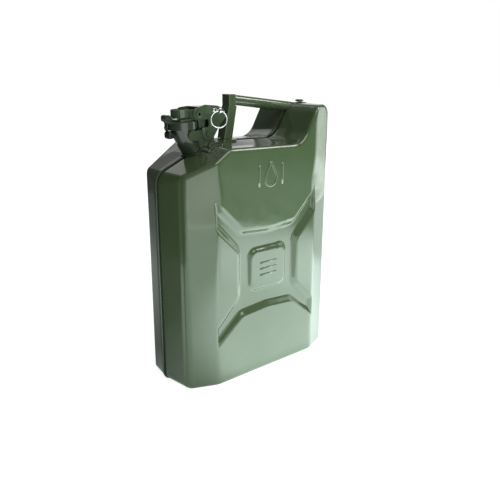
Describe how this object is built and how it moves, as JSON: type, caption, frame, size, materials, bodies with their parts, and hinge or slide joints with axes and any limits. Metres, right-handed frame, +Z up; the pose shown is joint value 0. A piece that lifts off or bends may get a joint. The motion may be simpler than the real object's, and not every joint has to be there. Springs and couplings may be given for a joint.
{
  "type": "fuel can",
  "caption": "Pressed-steel fuel can with a single tube handle, a leaning filler neck and a cam-lever cap with thumb latch, locking pin and pull ring.",
  "frame": {"origin": "under the middle of the base, on the plane the can stands on", "axes": "+Z up; the filler is at -X and the hump with the handle's far end at +X; the two large pressed faces look along -Y and +Y"},
  "size_m": [0.2864, 0.127, 0.3958],
  "materials": {
    "green_paint": "glossy olive green enamel",
    "dark_green_paint": "glossy darker green enamel",
    "bright_steel": "bright plated steel",
    "rubber": "matt black",
    "black_grip": "satin black"
  },
  "bodies": {
    "can": {"front_half_shell": "green_paint", "rear_half_shell": "green_paint", "seam_weld": "green_paint", "neck_tube": "dark_green_paint", "neck_weld_ring": "dark_green_paint", "bracket_base_plate": "green_paint", "vent_tube": "dark_green_paint", "hinge_bracket": "green_paint", "hinge_pin": "green_paint", "handle_tube": "green_paint", "handle_post": "green_paint", "post_foot": "green_paint", "handle_end_button": "green_paint"},
    "lever": {"lever_frame": "green_paint", "cap_rivet": "green_paint"},
    "cap": {"cap_shell": "dark_green_paint", "cap_gasket": "rubber", "gasket_retainer": "bright_steel", "cap_yoke": "green_paint", "latch_pin": "dark_green_paint"},
    "latch": {"latch_plate": "dark_green_paint", "latch_rivet": "dark_green_paint", "latch_grip": "black_grip"},
    "locking_pin": {"locking_pin": "bright_steel"},
    "pull_ring": {"pull_ring": "bright_steel"}
  },
  "joints": [
    {"name": "lever_hinge", "type": "hinge", "parent": "can", "child": "lever", "pos_m": [-0.071, 0, 0.348], "axis": [0, 1, 0], "range_deg": [0, 56]},
    {"name": "cap_pivot", "type": "hinge", "parent": "lever", "child": "cap", "pos_m": [-0.086, 0, 0.3735], "axis": [0, 1, 0], "range_deg": [-5.6, 0]},
    {"name": "latch_swing", "type": "hinge", "parent": "cap", "child": "latch", "pos_m": [-0.124, 0, 0.3694], "axis": [0, 1, 0], "range_deg": [0, 100.8]},
    {"name": "pin_slide", "type": "slide", "parent": "lever", "child": "locking_pin", "axis": [0, -1, 0], "range_m": [0, 0.044]},
    {"name": "ring_swing", "type": "hinge", "parent": "locking_pin", "child": "pull_ring", "pos_m": [-0.0615, -0.0305, 0.37715], "axis": [-0.9397, 0.342, 0], "range_deg": [-10, 75]}
  ],
  "couplings": [
    {"joint": "cap_pivot", "follows": "lever_hinge", "ratio": -0.1},
    {"joint": "latch_swing", "follows": "lever_hinge", "ratio": 1.8}
  ]
}
